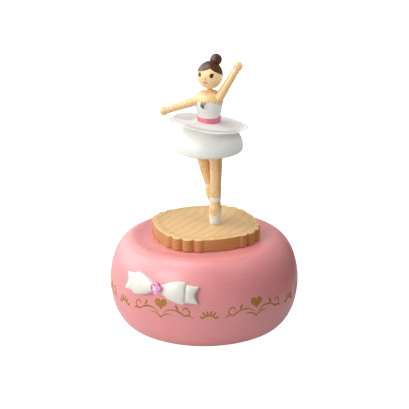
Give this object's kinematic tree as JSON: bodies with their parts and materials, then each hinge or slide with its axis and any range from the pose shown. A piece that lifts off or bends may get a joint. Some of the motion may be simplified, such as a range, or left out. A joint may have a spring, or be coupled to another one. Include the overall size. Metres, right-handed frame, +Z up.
{
  "type": "ballerina jewellery box",
  "caption": "Round turned wooden jewellery box with a wind-up musical movement; its scalloped lid carries a wooden ballerina, turns with the music and lifts off a lined tray.",
  "frame": {"origin": "centre of the felt face that the box stands on, on the axis of the turned body", "axes": "+Z up along the axis of the turned body and the turntable, -Y towards the front, where the bow is seen left of the middle, +X to the right"},
  "size_m": [0.102, 0.1048, 0.1514],
  "materials": {
    "painted_wood": "satin pink paint on turned wood, the growth rings showing through",
    "bare_wood": "sanded, thin clear lacquer",
    "figure_wood": "turned and lacquered, painted details",
    "white_paint": "white satin paint on turned wood",
    "tulle": "stiffened sheer fabric",
    "belt": "satin ribbon",
    "hair": "dark brown gloss paint",
    "felt": "wool felt",
    "velvet": "flocked velvet",
    "pearl": "pearl gloss with fine glitter",
    "pink_setting": "gloss",
    "pink_crystal": "faceted",
    "clear_crystal": "faceted",
    "brass": "turned",
    "plated_steel": "bright plated",
    "cast_frame": "tumbled die casting",
    "spring_steel": "blued and ground",
    "fan": "stamped"
  },
  "bodies": {
    "box": {"base_body": "painted_wood", "tray_cup": "bare_wood", "bottom_board": "bare_wood", "base_felt": "felt", "case_screws": "plated_steel", "compartment_lining": "velvet", "centre_post": "brass", "bow_ribbon": "pearl", "bow_setting": "pink_setting", "bow_crystal": "pink_crystal", "bedplate": "cast_frame", "bed_pillars": "plated_steel", "pillar_screws": "plated_steel", "barrel_bridge": "cast_frame", "left_bracket": "cast_frame", "right_bracket": "cast_frame", "governor_cock": "cast_frame", "comb_riser": "cast_frame", "comb": "spring_steel", "movement_screws": "plated_steel", "click_screw": "plated_steel", "click_spring": "plated_steel"},
    "winder": {"winding_key": "brass", "winding_arbor": "plated_steel", "ratchet_wheel": "brass"},
    "click": {"click_pawl": "brass"},
    "barrel": {"barrel_wheel": "brass", "barrel_drum": "brass", "barrel_cover": "brass", "turntable_wheel": "brass", "mainspring": "spring_steel"},
    "cylinder": {"contrate_wheel": "brass", "cylinder_arbor": "plated_steel", "cylinder_drum": "brass", "cylinder_pins": "plated_steel", "cylinder_wheel": "brass"},
    "governor": {"governor_pinion": "plated_steel", "worm_wheel": "brass"},
    "fly": {"worm_shaft": "plated_steel", "air_brake": "fan"},
    "turntable_spindle": {"spindle": "plated_steel", "spindle_gear": "brass"},
    "lid": {"turntable_plate": "bare_wood", "drive_hub": "brass", "hub_screws": "plated_steel", "toe_dowel": "plated_steel", "standing_leg": "figure_wood", "raised_leg": "figure_wood", "skirt_bell": "white_paint", "tutu_lower": "tulle", "tutu_upper": "tulle", "torso": "figure_wood", "waist_belt": "belt", "chest_crystal": "clear_crystal", "head": "figure_wood", "hair_bun": "hair", "left_arm": "figure_wood", "right_arm": "figure_wood"}
  },
  "joints": [
    {"name": "turntable_spin", "type": "hinge", "parent": "box", "child": "turntable_spindle", "pos_m": [0, 0, 0.04], "axis": [0, 0, 1], "continuous": true},
    {"name": "lid_lift", "type": "slide", "parent": "turntable_spindle", "child": "lid", "axis": [0, 0, 1], "range_m": [0, 0.06]},
    {"name": "barrel_spin", "type": "hinge", "parent": "box", "child": "barrel", "pos_m": [-0.014, 0, 0.02], "axis": [0, 0, 1], "continuous": true},
    {"name": "cylinder_spin", "type": "hinge", "parent": "box", "child": "cylinder", "pos_m": [0.006, 0, 0.0181], "axis": [1, 0, 0], "continuous": true},
    {"name": "governor_spin", "type": "hinge", "parent": "box", "child": "governor", "pos_m": [0.018, 0.008, 0.0181], "axis": [1, 0, 0], "continuous": true},
    {"name": "fly_spin", "type": "hinge", "parent": "box", "child": "fly", "pos_m": [0.01895, 0.0132, 0.02], "axis": [0, 0, 1], "continuous": true},
    {"name": "key_wind", "type": "hinge", "parent": "box", "child": "winder", "pos_m": [-0.014, 0, 0.006], "axis": [0, 0, 1], "range_deg": [0, 1080]},
    {"name": "click_swing", "type": "hinge", "parent": "box", "child": "click", "pos_m": [-0.0076, -0.005, 0.0088], "axis": [0, 0, 1], "range_deg": [-10, 0]}
  ],
  "couplings": [
    {"joint": "barrel_spin", "follows": "turntable_spin", "ratio": -0.42857},
    {"joint": "cylinder_spin", "follows": "turntable_spin", "ratio": -0.85714},
    {"joint": "governor_spin", "follows": "turntable_spin", "ratio": 2.5714},
    {"joint": "fly_spin", "follows": "turntable_spin", "ratio": -51.429}
  ]
}
